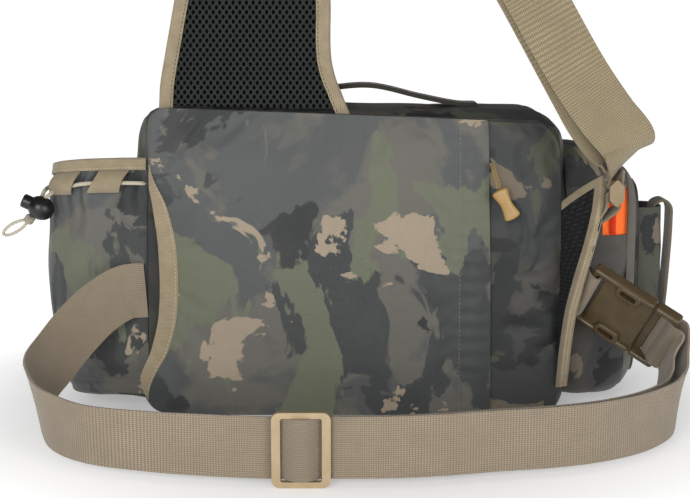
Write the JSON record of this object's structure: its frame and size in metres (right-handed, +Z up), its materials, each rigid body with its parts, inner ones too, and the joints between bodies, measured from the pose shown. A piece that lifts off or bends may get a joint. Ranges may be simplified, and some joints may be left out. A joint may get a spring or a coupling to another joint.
{
  "type": "fishing sling bag",
  "caption": "Soft camouflage sling bag with open and zipped side pockets, a hip wing, a buckled waist belt and a padded shoulder strap with a webbing end.",
  "frame": {"origin": "middle of the flat base of the body, on the floor", "axes": "+X to the right as seen by someone facing the side that lies on the wearer, +Y from the wearer's side to the far side, +Z up"},
  "size_m": [0.5018, 0.2946, 0.5275],
  "materials": {
    "cloth": "printed twill, slight sheen",
    "lining": "plain weave, matt",
    "webbing": "basket weave, matt",
    "air_mesh": "spacer mesh, matt",
    "plastic": "moulded, satin",
    "cord": "braided, matt",
    "cord_lock": "moulded, satin gloss",
    "zip_tape": "woven tape, matt",
    "zip_teeth": "coil, satin"
  },
  "bodies": {
    "root": {"base_gusset": "cloth", "top_gusset": "cloth", "front_panel": "cloth", "back_panel": "cloth", "back_pocket": "cloth", "left_pocket": "cloth", "left_pocket_base": "cloth", "right_pocket": "cloth", "right_pocket_face": "cloth", "tool_sleeve": "cloth", "tool_sleeve_base": "cloth", "inner_back": "lining", "back_edge_binding": "webbing", "zip_pull_cord": "webbing", "grab_handle": "webbing", "left_pocket_band": "webbing", "cord_loop_back": "webbing", "cord_loop_corner": "webbing", "tool_strap": "webbing", "wing_binding_edge": "webbing", "wing_binding_top": "webbing", "waist_belt": "webbing", "buckle_tab": "webbing", "pad_binding_left": "webbing", "pad_binding_right": "webbing", "shoulder_webbing": "webbing", "ring_tab": "webbing", "hip_wing": "air_mesh", "shoulder_pad": "air_mesh", "zip_pull": "plastic", "belt_slider": "plastic", "buckle_socket": "plastic", "buckle_plug": "plastic", "strap_slider": "plastic", "strap_ring": "plastic", "drawcord": "cord", "drawcord_far": "cord", "cord_knot": "cord", "cord_tail": "cord", "cord_lock": "cord_lock", "right_zip_tape": "zip_tape", "right_zip_coil": "zip_teeth"}
  },
  "joints": []
}
